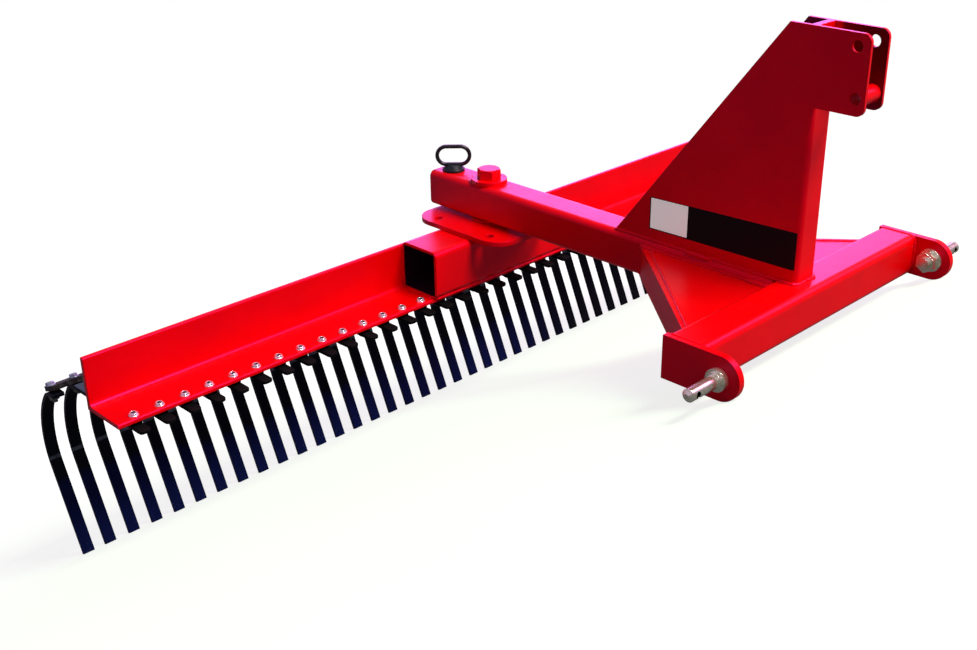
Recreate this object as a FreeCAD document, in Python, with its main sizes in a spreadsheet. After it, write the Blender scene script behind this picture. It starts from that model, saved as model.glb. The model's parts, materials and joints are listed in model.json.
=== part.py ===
"""Landscape rake for a three-point hitch, as a parametric FreeCAD document.

Machine frame, in which every sub-part is drawn: X to the machine's right, Y forward to the
tractor, Z up, with the king bolt's axis at X = Y = 0 and the tine arms' top faces at Z = 0.
The rake is then tipped forward about X until it stands on its tine tips and its hitch ears,
which is how it parks, and moved so that the floor is at Z = 0 below the middle of the machine.
"""
import FreeCAD, Part
import math
import os
import Sketcher

V = FreeCAD.Vector

# The tines between the end tines stand in banks, one sub-part each.
BANKS = 3
BANK_TINES = 6

# Driving dimensions, in millimetres and degrees.
SIZES = {
    # rake head
    "tine_pitch": 50.8, "tines_each_side": 19, "tine_width": 22.2, "tine_thick": 7.0,
    "tine_nose_y": 36.0, "tine_arm_end_y": -163.0, "tine_crown": 22.0, "tine_crown_turn": 49.0,
    "tine_bend": 147.0, "tine_lean": 23.4, "tine_leg": 176.0, "end_tine_nose_y": -150.0,
    "end_tine_inset": 5.0,
    "angle_leg": 101.6, "angle_thick": 7.9, "angle_root": 9.5, "angle_toe": 4.0,
    "angle_overhang": 12.7,
    "socket_side": 101.6, "socket_wall": 6.35, "socket_corner": 12.7, "socket_length": 406.4,
    "plate_width": 208.0, "plate_length": 260.0, "plate_thick": 9.5, "plate_corner": 50.0,
    "index_radius": 108.0, "index_hole": 9.0,
    "tie_width": 35.0, "tie_thick": 9.5, "tie_angle": 21.0, "tie_overhang": 5.0,
    # hitch frame
    "tube_side": 76.2, "tube_wall": 6.35, "tube_corner": 12.7, "pivot_gap": 5.0,
    "boom_rear_y": -142.0, "cross_front_y": 800.0,
    "ear_thick": 12.7, "ear_outer_x": 335.5, "ear_rear_y": 724.0,
    "pin_y": 834.0, "pin_radius": 11.1, "pin_length": 82.0, "pin_chamfer": 6.0,
    "pin_hole": 5.5, "pin_hole_back": 18.0, "collar_radius": 19.0, "collar_length": 10.0,
    "step_radius": 14.5, "step_length": 4.0, "nut_radius": 19.3, "nut_height": 19.0,
    "pin_washer_radius": 22.0, "pin_washer_thick": 3.2, "thread_tail": 6.0,
    "king_radius": 12.7, "king_clearance": 0.5, "king_head_radius": 25.5,
    "king_head_height": 21.0, "king_nut_height": 22.0, "king_tail": 10.0,
    "washer_radius": 38.0, "washer_thick": 8.0,
    "lock_radius": 8.0, "lock_collar_radius": 24.0, "lock_collar_height": 9.0,
    "lock_neck_radius": 13.0, "loop_width": 78.0, "loop_height": 48.0, "loop_wire": 4.3, "loop_turn": -45.0,
    "loop_sides": 8.0,
    "mast_gap": 46.0, "mast_wall": 6.35, "mast_rear_y": 370.0, "mast_top_y": 712.0,
    "mast_front_y": 768.0, "mast_height": 440.0, "mast_fold": 10.0,
    "clevis_front_y": 857.0, "clevis_height": 130.0, "clevis_corner": 14.0, "web_lap": 22.0,
    "link_hole": 9.75, "link_rise": 457.0, "sleeve_drop": 81.0, "sleeve_lead": 6.0,
    "sleeve_radius": 14.5,
    "gusset_thick": 9.5, "gusset_drop": 15.0, "gusset_rear_y": 453.0, "gusset_reach": 268.0,
    "brace_height": 60.0, "brace_thick": 9.5,
}

doc = FreeCAD.newDocument("LandscapeRake")
sheet = doc.addObject("Spreadsheet::Sheet", "sizes")


class Dim:
    """A number together with the spreadsheet expression that it comes from."""

    def __init__(self, number, text):
        self.number, self.text = float(number), text

    def _with(self, other, sign, number):
        text = other.text if isinstance(other, Dim) else repr(float(other))
        return Dim(number, f"({self.text} {sign} {text})")

    def __add__(self, other):
        return self._with(other, "+", self.number + plain(other))

    def __sub__(self, other):
        return self._with(other, "-", self.number - plain(other))

    def __mul__(self, other):
        return self._with(other, "*", self.number * plain(other))

    def __truediv__(self, other):
        return self._with(other, "/", self.number / plain(other))

    def __rsub__(self, other):
        return Dim(other - self.number, f"({float(other)!r} - {self.text})")

    def __neg__(self):
        return 0.0 - self


def plain(value):
    """The number behind a Dim, or the number itself."""
    return value.number if isinstance(value, Dim) else float(value)


class Sizes:
    """Every row of the sheet as a Dim attribute."""


def fill_sheet():
    """Write the driving dimensions to the sheet and hand them back as Dims."""
    sizes = Sizes()
    for row, (name, value) in enumerate(SIZES.items(), 1):
        sheet.set(f"A{row}", name)
        sheet.set(f"B{row}", str(value))
        sheet.setAlias(f"B{row}", name)
        setattr(sizes, name, Dim(value, f"sizes.{name}"))
    doc.recompute()
    return sizes


d = fill_sheet()

# Levels and stations that several sub-parts share.
socket_top = d.angle_thick + d.socket_side
plate_top = socket_top + d.plate_thick
boom_bottom = plate_top + d.pivot_gap
boom_top = boom_bottom + d.tube_side
boom_mid = boom_bottom + d.tube_side / 2
cross_rear_y = d.cross_front_y - d.tube_side
angle_rear_y = -(d.socket_side / 2) - d.angle_thick
end_tine_x = d.tine_pitch * (d.tines_each_side - 0.5)
angle_half = end_tine_x - d.angle_overhang
ear_inner_x = d.ear_outer_x - d.ear_thick
mast_width = d.mast_gap + d.mast_wall * 2
pin_level = boom_mid
link_level = pin_level + d.link_rise


def bind(thing, prop, value):
    """Bind a property to its expression, or set a plain number."""
    if isinstance(value, Dim):
        thing.setExpression(prop, value.text)
    else:
        setattr(thing, prop, value)


def body(name):
    made = doc.addObject("PartDesign::Body", name)
    made.Label = name
    return made


def plane(owner, role):
    return [item for item in owner.Origin.OriginFeatures if item.Role == role][0]


def sketch(owner, name, role, level=0.0):
    """A sketch on one of the body's origin planes, moved along the plane's normal."""
    made = owner.newObject("Sketcher::SketchObject", name)
    made.AttachmentSupport = [(plane(owner, role), "")]
    made.MapMode = "FlatFace"
    bind(made, "AttachmentOffset.Base.z", level) if isinstance(level, Dim) else None
    return made


def fix_point(made, geo, pos, x, y):
    """Hold a sketch point at x, y from the sketch's origin."""
    for kind, value in (("DistanceX", x), ("DistanceY", y)):
        if abs(plain(value)) < 1e-9 and not isinstance(value, Dim):
            on_axis = -2 if kind == "DistanceX" else -1
            made.addConstraint(Sketcher.Constraint("PointOnObject", geo, pos, on_axis))
            continue
        index = made.addConstraint(Sketcher.Constraint(kind, -1, 1, geo, pos, plain(value)))
        if isinstance(value, Dim):
            made.setExpression(f"Constraints[{index}]", value.text)


def polygon(made, corners):
    """A closed outline through corners, each held by its own two dimensions."""
    points = [V(plain(x), plain(y), 0) for x, y in corners]
    count = len(points)
    first = made.GeometryCount
    for i in range(count):
        made.addGeometry(Part.LineSegment(points[i], points[(i + 1) % count]), False)
    for i in range(count):
        made.addConstraint(
            Sketcher.Constraint("Coincident", first + i, 2, first + (i + 1) % count, 1))
    for i, (x, y) in enumerate(corners):
        fix_point(made, first + i, 1, x, y)


def circle(made, x, y, radius):
    index = made.addGeometry(Part.Circle(V(plain(x), plain(y), 0), V(0, 0, 1), plain(radius)))
    fix_point(made, index, 3, x, y)
    rule = made.addConstraint(Sketcher.Constraint("Radius", index, plain(radius)))
    if isinstance(radius, Dim):
        made.setExpression(f"Constraints[{rule}]", radius.text)


def pad(owner, name, profile, length, both_ways=False):
    made = owner.newObject("PartDesign::Pad", name)
    made.Profile = profile
    bind(made, "Length", length)
    made.Midplane = both_ways
    owner.Tip = made
    doc.recompute()
    return made


def pocket(owner, name, profile, depth=None):
    """Cut a profile right through both ways, or to a depth below it, and check that it cut."""
    before = owner.Shape.Volume
    made = owner.newObject("PartDesign::Pocket", name)
    made.Profile = profile
    if depth is None:
        made.Midplane = True
        made.Type = "ThroughAll"
    else:
        bind(made, "Length", depth)
    owner.Tip = made
    doc.recompute()
    if not owner.Shape.Volume < before - 1.0:
        raise RuntimeError(f"{owner.Label}: {name} cuts nothing")
    return made


def edges_where(shape, test):
    """Names of the straight edges whose two ends pass a test."""
    names = []
    for number, edge in enumerate(shape.Edges, 1):
        if len(edge.Vertexes) == 2 and test(edge.Vertexes[0].Point, edge.Vertexes[1].Point):
            names.append(f"Edge{number}")
    return names


def fillet(owner, name, test, radius):
    base = owner.Tip
    made = owner.newObject("PartDesign::Fillet", name)
    made.Base = (base, edges_where(base.Shape, test))
    bind(made, "Radius", radius)
    owner.Tip = made
    doc.recompute()
    return made


def primitive(kind, name, x=0.0, y=0.0, z=0.0, turn=None, **sizes_given):
    """A Part primitive with bound sizes and a bound position."""
    made = doc.addObject(kind, name)
    if turn:
        made.Placement.Rotation = turn
    for prop, value in sizes_given.items():
        bind(made, prop, value)
    for axis, value in zip("xyz", (x, y, z)):
        if isinstance(value, Dim):
            made.setExpression(f"Placement.Base.{axis}", value.text)
        else:
            setattr(made.Placement.Base, axis, value)
    return made


def join(kind, name, *pieces):
    made = doc.addObject(kind, name)
    if kind == "Part::Cut":
        made.Base, made.Tool = pieces
    else:
        made.Shapes = list(pieces)
    return made


ALONG_X = FreeCAD.Rotation(V(0, 1, 0), 90)


# Rake head ---------------------------------------------------------------------------------

def tine_bends():
    """Centres of a tine's crown and of its wide bend, and where round them each one ends."""
    crown_end = math.radians(90 + d.tine_crown_turn.number)
    leg_start = math.radians(180 + d.tine_lean.number)
    crown = V(d.tine_arm_end_y.number, -(d.tine_crown + d.tine_thick).number, 0)
    wide = crown - around(crown_end) * (d.tine_bend - d.tine_crown).number
    return crown, wide, crown_end, leg_start


def around(angle):
    return V(math.cos(angle), math.sin(angle), 0)


def tine_tips():
    """Inner and outer corners of a tine's tip, in its own side view."""
    wide, leg_start = tine_bends()[1], tine_bends()[3]
    down = around(leg_start + math.pi / 2) * d.tine_leg.number
    return [wide + around(leg_start) * plain(d.tine_bend + extra) + down
            for extra in (0.0, d.tine_thick)]


def tine_profile(owner, name, first_x):
    """Side view of one bent tine, on a plane across the machine.

    A flat arm, a tight crown, a wide bend and a straight leg leaning forward to the tip, all
    one strip of spring steel: inner and outer arcs share centres and every joint is tangent.
    """
    made = sketch(owner, name, "YZ_Plane", first_x)
    crown, wide, crown_end, leg_start = tine_bends()
    inner_tip, outer_tip = tine_tips()
    arm_end, nose, thick = (d.tine_arm_end_y.number, d.tine_nose_y.number, d.tine_thick.number)
    tight, broad = d.tine_crown.number, d.tine_bend.number

    def arc(centre, radius, first, last):
        return Part.ArcOfCircle(Part.Circle(centre, V(0, 0, 1), radius), first, last)

    strip = [
        Part.LineSegment(V(nose, 0, 0), V(arm_end, 0, 0)),
        arc(crown, tight + thick, math.pi / 2, crown_end),
        arc(wide, broad + thick, crown_end, leg_start),
        Part.LineSegment(wide + around(leg_start) * (broad + thick), outer_tip),
        Part.LineSegment(outer_tip, inner_tip),
        Part.LineSegment(inner_tip, wide + around(leg_start) * broad),
        arc(wide, broad, crown_end, leg_start),
        arc(crown, tight, math.pi / 2, crown_end),
        Part.LineSegment(V(arm_end, -thick, 0), V(nose, -thick, 0)),
        Part.LineSegment(V(nose, -thick, 0), V(nose, 0, 0)),
    ]
    for piece in strip:
        made.addGeometry(piece, False)
    (top, crown_out, wide_out, leg_back, tip, leg_front,
     wide_in, crown_in, under, front) = range(len(strip))
    rule = Sketcher.Constraint
    for first, first_end, second, second_end in (
            (top, 2, crown_out, 1), (crown_out, 2, wide_out, 1), (wide_out, 2, leg_back, 1),
            (leg_front, 2, wide_in, 2), (wide_in, 1, crown_in, 2), (crown_in, 1, under, 1)):
        made.addConstraint(rule("Tangent", first, first_end, second, second_end))
    for first, first_end, second, second_end in (
            (leg_back, 2, tip, 1), (tip, 2, leg_front, 1), (under, 2, front, 1),
            (front, 2, top, 1), (crown_out, 3, crown_in, 3), (wide_out, 3, wide_in, 3)):
        made.addConstraint(rule("Coincident", first, first_end, second, second_end))
    made.addConstraint(rule("Horizontal", top))
    made.addConstraint(rule("Vertical", front))
    made.addConstraint(rule("Perpendicular", leg_back, tip))
    fix_point(made, top, 1, d.tine_nose_y, 0.0)
    for kind, pieces, value in (
            ("DistanceX", (-1, 1, top, 2), d.tine_arm_end_y),
            ("Radius", (crown_in,), d.tine_crown),
            ("Radius", (wide_in,), d.tine_bend),
            ("Distance", (front,), d.tine_thick),
            ("Distance", (leg_front,), d.tine_leg)):
        index = made.addConstraint(rule(kind, *pieces, value.number))
        made.setExpression(f"Constraints[{index}]", value.text)
    for pieces, value in (((-2, 1, leg_front, 1), d.tine_lean), ((crown_in,), d.tine_crown_turn)):
        index = made.addConstraint(rule("Angle", *pieces, math.radians(value.number)))
        made.setExpression(f"Constraints[{index}]", f"{value.text} * 1deg")
    return made


def tines(name, place, count, side):
    """A row of equal tines, counted outwards from the middle of the head."""
    made = body(name)
    start = place * side
    profile = tine_profile(made, f"{name}_profile", start)
    one = pad(made, f"{name}_strip", profile, d.tine_width, both_ways=True)
    if count > 1:
        row = made.newObject("PartDesign::LinearPattern", f"{name}_row")
        row.Originals = [one]
        row.Direction = (profile, ["N_Axis"])
        row.Reversed = side < 0
        bind(row, "Length", d.tine_pitch * (count - 1))
        row.Occurrences = count
        made.Tip = row
    return made


def end_tine(name, side):
    """The outermost tine, past the angle's end, held by the tie bar alone: its arm is short."""
    made = tines(name, end_tine_x - d.end_tine_inset, 1, side)
    spare = sketch(made, f"{name}_spare_arm", "YZ_Plane")
    cut_y, past = d.end_tine_nose_y, d.tine_nose_y + 10
    polygon(spare, [(cut_y, -d.tine_bend), (past, -d.tine_bend), (past, d.tine_thick),
                    (cut_y, d.tine_thick)])
    pocket(made, f"{name}_short_arm", spare)
    return made


def head_angle():
    """The long rolled angle that carries the tines, with its root and toe radii."""
    made = body("head_angle")
    rear, front = angle_rear_y, angle_rear_y + d.angle_leg
    inner, floor = angle_rear_y + d.angle_thick, d.angle_thick
    profile = sketch(made, "angle_profile", "YZ_Plane")
    polygon(profile, [(rear, 0.0), (front, 0.0), (front, floor), (inner, floor),
                      (inner, d.angle_leg), (rear, d.angle_leg)])
    pad(made, "angle_bar", profile, angle_half * 2, both_ways=True)

    def at(y, z):
        return lambda a, b: all(abs(p.y - plain(y)) < 0.01 and abs(p.z - plain(z)) < 0.01
                                for p in (a, b))
    fillet(made, "angle_root_radius", at(inner, floor), d.angle_root)
    fillet(made, "angle_toe_low", at(front, floor), d.angle_toe)
    fillet(made, "angle_toe_high", at(inner, d.angle_leg), d.angle_toe)
    return made


def long_corners(length, middle, reach):
    """A test for a tube's long edges that lie at a given distance from its middle line."""
    def test(a, b):
        along = b - a
        return (along.Length > plain(length) - 0.01
                and abs(a.distanceToLine(middle, along) - plain(reach)) < 0.01)
    return test


def square_tube(name, role, start, length, across, level, side, wall, corner):
    """A square tube with open ends and round corners.

    It starts at a distance from one of the origin planes and runs along that plane's normal;
    across and level place its middle line on the plane.
    """
    made = body(name)
    diagonal = math.sqrt(2)
    middle = V(0, plain(across), plain(level))

    def square(label, half):
        outline = sketch(made, f"{name}_{label}", role, start)
        polygon(outline, [(across - half, level - half), (across + half, level - half),
                          (across + half, level + half), (across - half, level + half)])
        return outline
    outer, inner = side / 2, side / 2 - wall
    pad(made, f"{name}_bar", square("outside", outer), length)
    pocket(made, f"{name}_bore", square("inside", inner))
    fillet(made, f"{name}_outer_corners", long_corners(length, middle, outer * diagonal), corner)
    fillet(made, f"{name}_inner_corners", long_corners(length, middle, inner * diagonal),
           corner - wall)
    return made


def drilled(name, piece, *holes):
    tool = holes[0] if len(holes) == 1 else join("Part::MultiFuse", f"{name}_holes", *holes)
    made = join("Part::Cut", name, piece, tool)
    made.Label = name
    return made


def socket_tube():
    """Tube welded into the angle under the index plate; its top wall takes the king bolt."""
    centre = d.socket_side * 0
    made = square_tube("socket_tube", "YZ_Plane", -(d.socket_length / 2), d.socket_length,
                       centre, d.angle_thick + d.socket_side / 2,
                       d.socket_side, d.socket_wall, d.socket_corner)
    hole = sketch(made, "socket_king_hole", "XY_Plane", socket_top)
    circle(hole, 0.0, 0.0, d.king_radius + d.king_clearance)
    pocket(made, "socket_drilling", hole, d.socket_wall * 2)
    return made


def index_plate():
    """Rounded plate with the king bolt's hole and six lock pin holes around it."""
    made = body("index_plate")
    half_x, half_y = d.plate_width / 2, d.plate_length / 2
    outline = sketch(made, "plate_outline", "XY_Plane", socket_top)
    polygon(outline, [(-half_x, -half_y), (half_x, -half_y), (half_x, half_y),
                      (-half_x, half_y)])
    pad(made, "plate_blank", outline, d.plate_thick)
    fillet(made, "plate_corners", lambda a, b: abs(a.z - b.z) > 1, d.plate_corner)
    holes = sketch(made, "plate_holes", "XY_Plane", socket_top)
    circle(holes, 0.0, 0.0, d.king_radius + d.king_clearance)
    diagonal = d.index_radius * math.sqrt(0.5)
    circle(holes, 0.0, -d.index_radius, d.index_hole)
    circle(holes, 0.0, d.index_radius, d.index_hole)
    for x in (-diagonal, diagonal):
        for y in (-diagonal, diagonal):
            circle(holes, x, y, d.index_hole)
    pocket(made, "plate_drilling", holes)
    return made


def tie_bar():
    """Flat bar bolted across the crowns of all the tines."""
    made = body("tie_bar")
    profile = sketch(made, "tie_profile", "YZ_Plane")
    out = around(math.radians(90 + d.tie_angle.number))
    along = around(math.radians(180 + d.tie_angle.number))
    seat = tine_bends()[0] + out * plain(d.tine_crown + d.tine_thick)
    half = d.tie_width.number / 2
    lift = out * d.tie_thick.number
    corners = [seat - along * half, seat + along * half,
               seat + along * half + lift, seat - along * half + lift]
    polygon(profile, [(corner.x, corner.y) for corner in corners])
    pad(made, "tie_strip", profile, (end_tine_x - d.end_tine_inset + d.tie_overhang) * 2, both_ways=True)
    return made


# Hitch frame -------------------------------------------------------------------------------

def boom_tube():
    """Tube from behind the pivot forward to the crossbar, drilled for both bolts."""
    made = square_tube("boom_tube", "XZ_Plane", -cross_rear_y, cross_rear_y - d.boom_rear_y,
                       d.tube_side * 0, boom_mid, d.tube_side, d.tube_wall, d.tube_corner)
    holes = sketch(made, "boom_holes", "XY_Plane", boom_mid)
    circle(holes, 0.0, 0.0, d.king_radius)
    circle(holes, 0.0, -d.index_radius, d.lock_radius)
    pocket(made, "boom_drilling", holes)
    return made


def cross_tube():
    """Crossbar between the two ears."""
    return square_tube("cross_tube", "YZ_Plane", -ear_inner_x, ear_inner_x * 2,
                       d.cross_front_y - d.tube_side / 2, boom_mid,
                       d.tube_side, d.tube_wall, d.tube_corner)


def ear(name, side):
    """Plate across the crossbar's end, round at the front about the lift pin."""
    inner = ear_inner_x if side > 0 else -d.ear_outer_x
    slab = primitive("Part::Box", f"{name}_slab", inner, d.ear_rear_y, boom_bottom,
                     Length=d.ear_thick, Width=d.pin_y - d.ear_rear_y, Height=d.tube_side)
    nose = primitive("Part::Cylinder", f"{name}_nose", inner, d.pin_y, pin_level,
                     turn=ALONG_X, Radius=d.tube_side / 2, Height=d.ear_thick)
    hole = primitive("Part::Cylinder", f"{name}_hole", inner - 5, d.pin_y, pin_level,
                     turn=ALONG_X, Radius=d.pin_radius, Height=d.ear_thick + 10)
    return drilled(name, join("Part::MultiFuse", f"{name}_plate", slab, nose), hole)


def lift_pin(name, side):
    """Turned pin: threaded end in the ear, shoulder, step, journal, tip and linchpin hole."""
    made = body(name)
    profile = sketch(made, f"{name}_profile", "XY_Plane", pin_level)
    nut_end = ear_inner_x - d.pin_washer_thick - d.nut_height - d.thread_tail
    tip = d.ear_outer_x + d.pin_length
    shoulder = d.ear_outer_x + d.collar_length
    step = shoulder + d.step_length
    stations = [(nut_end, 0.0), (nut_end, d.pin_radius), (d.ear_outer_x, d.pin_radius),
                (d.ear_outer_x, d.collar_radius), (shoulder, d.collar_radius),
                (shoulder, d.step_radius), (step, d.step_radius), (step, d.pin_radius),
                (tip - d.pin_chamfer, d.pin_radius), (tip, d.pin_radius - d.pin_chamfer),
                (tip, 0.0)]
    polygon(profile, [(x * side, d.pin_y + r) for x, r in stations])
    turned = made.newObject("PartDesign::Revolution", f"{name}_turned")
    turned.Profile = profile
    turned.ReferenceAxis = (profile, [f"Edge{len(stations)}"])
    turned.Angle = 360.0
    made.Tip = turned
    doc.recompute()
    hole = sketch(made, f"{name}_hole", "XZ_Plane")
    circle(hole, (tip - d.pin_hole_back) * side, pin_level, d.pin_hole)
    pocket(made, f"{name}_linchpin_hole", hole)
    return made


def ring(name, x, y, z, radius, thick, hole, turn=None):
    """A flat washer or sleeve, from x, y, z along Z or along the turned axis."""
    disc = primitive("Part::Cylinder", f"{name}_disc", x, y, z, turn=turn,
                     Radius=radius, Height=thick)
    bore = primitive("Part::Cylinder", f"{name}_bore", x, y, z, turn=turn,
                     Radius=hole, Height=thick)
    return drilled(name, disc, bore)


def nut(name, x, y, z, radius, height, hole, turn=None):
    """A plain hexagon nut, placed as a ring is."""
    block = primitive("Part::Prism", f"{name}_block", x, y, z, turn=turn,
                      Polygon=6, Circumradius=radius, Height=height)
    bore = primitive("Part::Cylinder", f"{name}_bore", x, y, z, turn=turn,
                     Radius=hole, Height=height)
    return drilled(name, block, bore)


def lift_fasteners(hand, side):
    """Washer and nut that hold a lift pin against the inner face of its ear."""
    washer_x = ear_inner_x - d.pin_washer_thick
    nut_x = washer_x - d.nut_height
    if side < 0:
        washer_x, nut_x = -ear_inner_x, -washer_x
    return [ring(f"lift_pin_washer_{hand}", washer_x, d.pin_y, pin_level,
                 d.pin_washer_radius, d.pin_washer_thick, d.pin_radius, ALONG_X),
            nut(f"lift_pin_nut_{hand}", nut_x, d.pin_y, pin_level,
                d.nut_radius, d.nut_height, d.pin_radius, ALONG_X)]


def king_bolt():
    """Hexagon bolt through the boom, the index plate and the socket tube's top wall."""
    top = boom_top + d.washer_thick
    foot = socket_top - d.socket_wall - d.king_nut_height - d.king_tail
    flats = d.king_head_radius * math.cos(math.pi / 6)
    block = primitive("Part::Prism", "king_head_block", 0.0, 0.0, top, Polygon=6,
                      Circumradius=d.king_head_radius, Height=d.king_head_height)
    chamfer = primitive("Part::Cone", "king_head_chamfer", 0.0, 0.0, top,
                        Radius1=flats + d.king_head_height * math.sqrt(3), Radius2=flats * 0.95,
                        Height=d.king_head_height)
    head = join("Part::MultiCommon", "king_head", block, chamfer)
    shank = primitive("Part::Cylinder", "king_shank", 0.0, 0.0, foot,
                      Radius=d.king_radius, Height=top - foot)
    made = join("Part::MultiFuse", "king_bolt", head, shank)
    made.Label = "king_bolt"
    return made


def pivot_rings():
    """Nut and washers on the king bolt, and the thrust washer that the boom turns on."""
    play = 0.4
    return [nut("king_nut", 0.0, 0.0, socket_top - d.socket_wall - d.king_nut_height - play,
                d.king_head_radius, d.king_nut_height, d.king_radius),
            ring("king_washer", 0.0, 0.0, boom_top, d.washer_radius, d.washer_thick,
                 d.king_radius),
            ring("thrust_washer", 0.0, 0.0, plate_top + play, d.washer_radius,
                 d.pivot_gap - play, d.king_radius)]


def loop_path(owner):
    """Middle line of the pull loop: a flat oval of two straights and two half circles."""
    made = sketch(owner, "loop_path", "XZ_Plane")
    end = d.loop_height / 2 - d.loop_wire
    reach = d.loop_width / 2 - d.loop_height / 2
    middle = boom_top + d.lock_collar_height + d.loop_height / 2
    for side, first, last in ((1, -math.pi / 2, math.pi / 2), (-1, math.pi / 2, math.pi * 1.5)):
        centre = V(side * reach.number, middle.number, 0)
        rim = Part.Circle(centre, V(0, 0, 1), end.number)
        arc = made.addGeometry(Part.ArcOfCircle(rim, first, last), False)
        fix_point(made, arc, 3, reach * side, middle)
        rule = made.addConstraint(Sketcher.Constraint("Radius", arc, end.number))
        made.setExpression(f"Constraints[{rule}]", end.text)
    for side, (first, first_end), (last, last_end) in (
            (1, (0, 2), (1, 1)), (-1, (1, 2), (0, 1))):
        level = middle.number + side * end.number
        from_x, to_x = side * reach.number, -side * reach.number
        line = made.addGeometry(
            Part.LineSegment(V(from_x, level, 0), V(to_x, level, 0)), False)
        made.addConstraint(Sketcher.Constraint("Tangent", first, first_end, line, 1))
        made.addConstraint(Sketcher.Constraint("Coincident", line, 2, last, last_end))
    return made


def index_pin():
    """Lock pin with a collar and an oval pull loop, turned askew; its foot stays in the boom."""
    made = body("index_pin")
    profile = sketch(made, "lock_profile", "YZ_Plane")
    collar_top = boom_top + d.lock_collar_height
    neck_top = collar_top + d.loop_wire
    stations = [(boom_bottom, 0.0), (boom_bottom, d.lock_radius), (boom_top, d.lock_radius),
                (boom_top, d.lock_collar_radius), (collar_top - d.loop_wire, d.lock_collar_radius),
                (neck_top, d.lock_neck_radius), (neck_top, 0.0)]
    polygon(profile, [(r, z) for z, r in stations])
    turned = made.newObject("PartDesign::Revolution", "lock_turned")
    turned.Profile = profile
    turned.ReferenceAxis = (profile, [f"Edge{len(stations)}"])
    turned.Angle = 360.0
    made.Tip = turned
    doc.recompute()
    wire = sketch(made, "loop_section", "YZ_Plane")
    sides = int(d.loop_sides.number)
    corners = [around(math.tau * (i + 0.5) / sides) for i in range(sides)]
    polygon(wire, [(d.loop_wire * corner.x, neck_top + d.loop_wire * corner.y)
                   for corner in corners])
    loop = made.newObject("PartDesign::AdditivePipe", "pull_loop")
    loop.Profile = wire
    loop.Spine = loop_path(made)
    made.Tip = loop
    made.Placement = FreeCAD.Placement(
        V(0, -d.index_radius.number, 0), FreeCAD.Rotation(V(0, 0, 1), d.loop_turn.number))
    return made


def gusset(name, side):
    """Flat triangle in the corner between the boom and the crossbar."""
    made = body(name)
    near = d.tube_side / 2 * side
    far = d.gusset_reach * side
    outline = sketch(made, f"{name}_outline", "XY_Plane", boom_top - d.gusset_drop - d.gusset_thick)
    polygon(outline, [(near, d.gusset_rear_y), (far, cross_rear_y), (near, cross_rear_y)])
    pad(made, f"{name}_plate", outline, d.gusset_thick)
    return made


def brace(name, side):
    """Flat bar on edge along the gusset's long side."""
    made = body(name)
    dx = d.gusset_reach - d.tube_side / 2
    dy = cross_rear_y - d.gusset_rear_y
    long = math.hypot(dx.number, dy.number)
    wide_x = d.brace_thick * (long / dy.number)
    wide_y = d.brace_thick * (long / dx.number)
    near, far = d.tube_side / 2, d.gusset_reach
    corners = [(near, d.gusset_rear_y), (far, cross_rear_y), (far + wide_x, cross_rear_y),
               (near, d.gusset_rear_y - wide_y)]
    top = boom_top - d.gusset_drop
    outline = sketch(made, f"{name}_outline", "XY_Plane", top - d.brace_height)
    polygon(outline, [(x * side, y) for x, y in corners])
    pad(made, f"{name}_bar", outline, d.brace_height)
    return made


def mast():
    """One folded plate: two cheeks joined by a front web, with clevis lugs at the top."""
    made = body("mast")
    half, inner = mast_width / 2, d.mast_gap / 2
    top = boom_top + d.mast_height
    channel = sketch(made, "mast_channel", "XY_Plane", boom_top)
    rear, front = d.mast_rear_y, d.mast_front_y
    web = front - d.mast_wall
    polygon(channel, [(-half, rear), (-inner, rear), (-inner, web), (inner, web),
                      (inner, rear), (half, rear), (half, front), (-half, front)])
    pad(made, "mast_folded", channel, d.mast_height)

    def fold(a, b):
        return (abs(a.y - front.number) < 0.01 and abs(b.y - front.number) < 0.01
                and abs(a.z - b.z) > 1)
    fillet(made, "mast_folds", fold, d.mast_fold)
    slope = sketch(made, "mast_slope", "YZ_Plane")
    polygon(slope, [(rear - 50, boom_top), (rear, boom_top), (d.mast_top_y, top),
                    (d.mast_top_y, top + 50), (rear - 50, top + 50)])
    pocket(made, "mast_slope_cut", slope)
    lugs = sketch(made, "clevis_lugs", "YZ_Plane")
    foot = top - d.clevis_height
    start = front - d.mast_fold * 2
    polygon(lugs, [(start, foot), (d.clevis_front_y, foot), (d.clevis_front_y, top),
                   (start, top)])
    pad(made, "clevis_plates", lugs, mast_width, both_ways=True)
    gap = sketch(made, "clevis_gap", "XY_Plane", foot - 5)
    polygon(gap, [(-inner, front), (inner, front), (inner, d.clevis_front_y + 5),
                  (-inner, d.clevis_front_y + 5)])
    pocket(made, "clevis_gap_cut", gap)
    open_top = sketch(made, "mast_open_top", "XY_Plane", top)
    polygon(open_top, [(-inner, web), (inner, web), (inner, front), (-inner, front)])
    pocket(made, "mast_web_cut", open_top, d.clevis_height - d.web_lap)

    def lug_corner(a, b):
        return all(abs(p.y - d.clevis_front_y.number) < 0.01 for p in (a, b)) and \
            abs(a.x - b.x) > 1 and abs(a.z - b.z) < 0.01
    fillet(made, "clevis_corners", lug_corner, d.clevis_corner)
    holes = sketch(made, "link_holes", "YZ_Plane")
    circle(holes, d.pin_y, link_level, d.link_hole)
    circle(holes, d.pin_y + d.sleeve_lead, link_level - d.sleeve_drop, d.link_hole)
    pocket(made, "link_drilling", holes)
    return made


def sleeve():
    """Spacer tube between the clevis plates at the lower link hole."""
    return ring("top_link_sleeve", -(d.mast_gap / 2), d.pin_y + d.sleeve_lead,
                link_level - d.sleeve_drop, d.sleeve_radius, d.mast_gap, d.link_hole, ALONG_X)


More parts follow.
